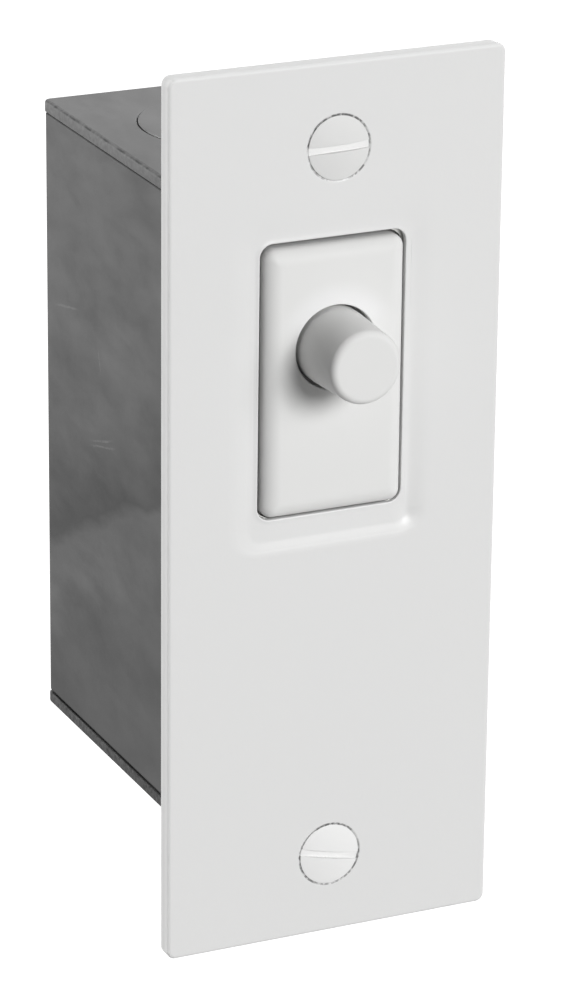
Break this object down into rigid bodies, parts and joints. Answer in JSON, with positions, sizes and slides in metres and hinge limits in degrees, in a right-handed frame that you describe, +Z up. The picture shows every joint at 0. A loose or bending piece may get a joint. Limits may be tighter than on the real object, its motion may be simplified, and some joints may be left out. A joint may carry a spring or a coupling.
{
  "type": "door jamb switch",
  "caption": "Narrow white jamb switch: pressed faceplate with a sunk window, an insert with a tapered plunger, and a deep steel box behind. A closing door pushes the plunger in.",
  "frame": {"origin": "centre of the faceplate's rim, on the face of the jamb", "axes": "+X to the right seen from the front, +Y into the jamb, +Z up"},
  "size_m": [0.0444, 0.0598, 0.1142],
  "materials": {
    "white_enamel": "baked white enamel, satin gloss",
    "strap_steel": "bright zinc plate",
    "white_moulding": "moulded white, satin",
    "dark_moulding": "black phenolic moulding",
    "contact_brass": "stamped brass",
    "contact_silver": "silver contact points",
    "box_steel": "grey zinc-plated sheet steel, lightly scuffed"
  },
  "bodies": {
    "housing": {"faceplate": "white_enamel", "faceplate_screws": "white_enamel", "mounting_strap": "strap_steel", "strap_rivets": "strap_steel", "switch_cover": "white_moulding", "switch_base": "dark_moulding", "fixed_contacts": "contact_silver", "terminal_left": "contact_brass", "terminal_right": "contact_brass", "terminal_screws": "contact_brass", "return_spring": "strap_steel", "box_body": "box_steel", "box_end_upper": "box_steel", "box_end_lower": "box_steel"},
    "plunger": {"plunger": "white_moulding", "contact_bridge": "contact_brass", "bridge_retainer": "strap_steel", "moving_contacts": "contact_silver"}
  },
  "joints": [
    {"name": "plunger_press", "type": "slide", "parent": "housing", "child": "plunger", "axis": [0, 1, 0], "range_m": [0, 0.0065], "stiffness_N_per_m": 400, "deforming": ["return_spring"]}
  ]
}
